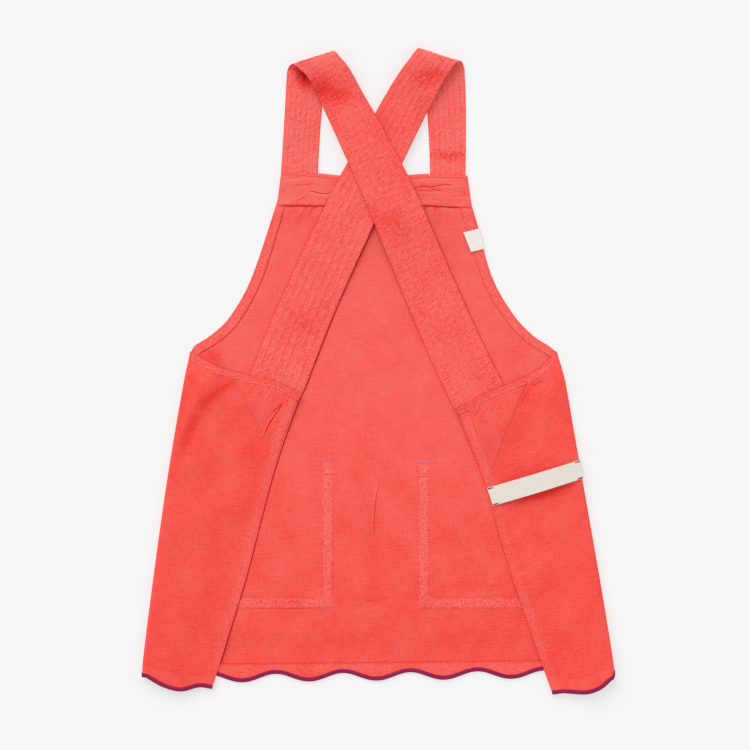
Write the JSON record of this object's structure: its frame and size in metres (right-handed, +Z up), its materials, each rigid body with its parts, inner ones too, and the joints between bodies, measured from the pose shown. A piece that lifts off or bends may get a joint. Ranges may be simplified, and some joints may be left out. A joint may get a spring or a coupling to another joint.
{
  "type": "cross-back smock apron",
  "caption": "Cross-back smock apron laid flat, back upwards, with folded back wings, quilted crossing straps, patch pockets, a towel loop and a bound scalloped hem.",
  "frame": {"origin": "on the surface that the smock lies on, below the centre of its outline", "axes": "+X across towards the towel loop, +Y from the hem to the shoulders, +Z up from the surface"},
  "size_m": [0.6621, 0.9047, 0.0164],
  "materials": {
    "coral_cloth": "plain-woven coral cotton and linen, slightly slubbed, matt",
    "quilted_cloth": "the same cloth doubled over a filling and sewn in close rows",
    "plum_binding": "plum cotton binding tape",
    "cream_tape": "cream cotton twill tape",
    "cream_tab": "smooth cream cotton tab, bare"
  },
  "bodies": {
    "root": {"front_panel": "coral_cloth", "side_fold_left": "coral_cloth", "side_fold_right": "coral_cloth", "wing_left": "coral_cloth", "wing_right": "coral_cloth", "bib_band": "coral_cloth", "hem_facing": "coral_cloth", "armhole_facing_left": "coral_cloth", "armhole_facing_right": "coral_cloth", "corner_patch_left": "coral_cloth", "corner_patch_right": "coral_cloth", "pocket_left": "coral_cloth", "pocket_right": "coral_cloth", "strap_left": "quilted_cloth", "strap_right": "quilted_cloth", "hem_binding_front": "plum_binding", "hem_binding_fold_left": "plum_binding", "hem_binding_fold_right": "plum_binding", "hem_binding_wing_left": "plum_binding", "hem_binding_wing_right": "plum_binding", "towel_loop": "cream_tape", "edge_tab": "cream_tab"}
  },
  "joints": []
}
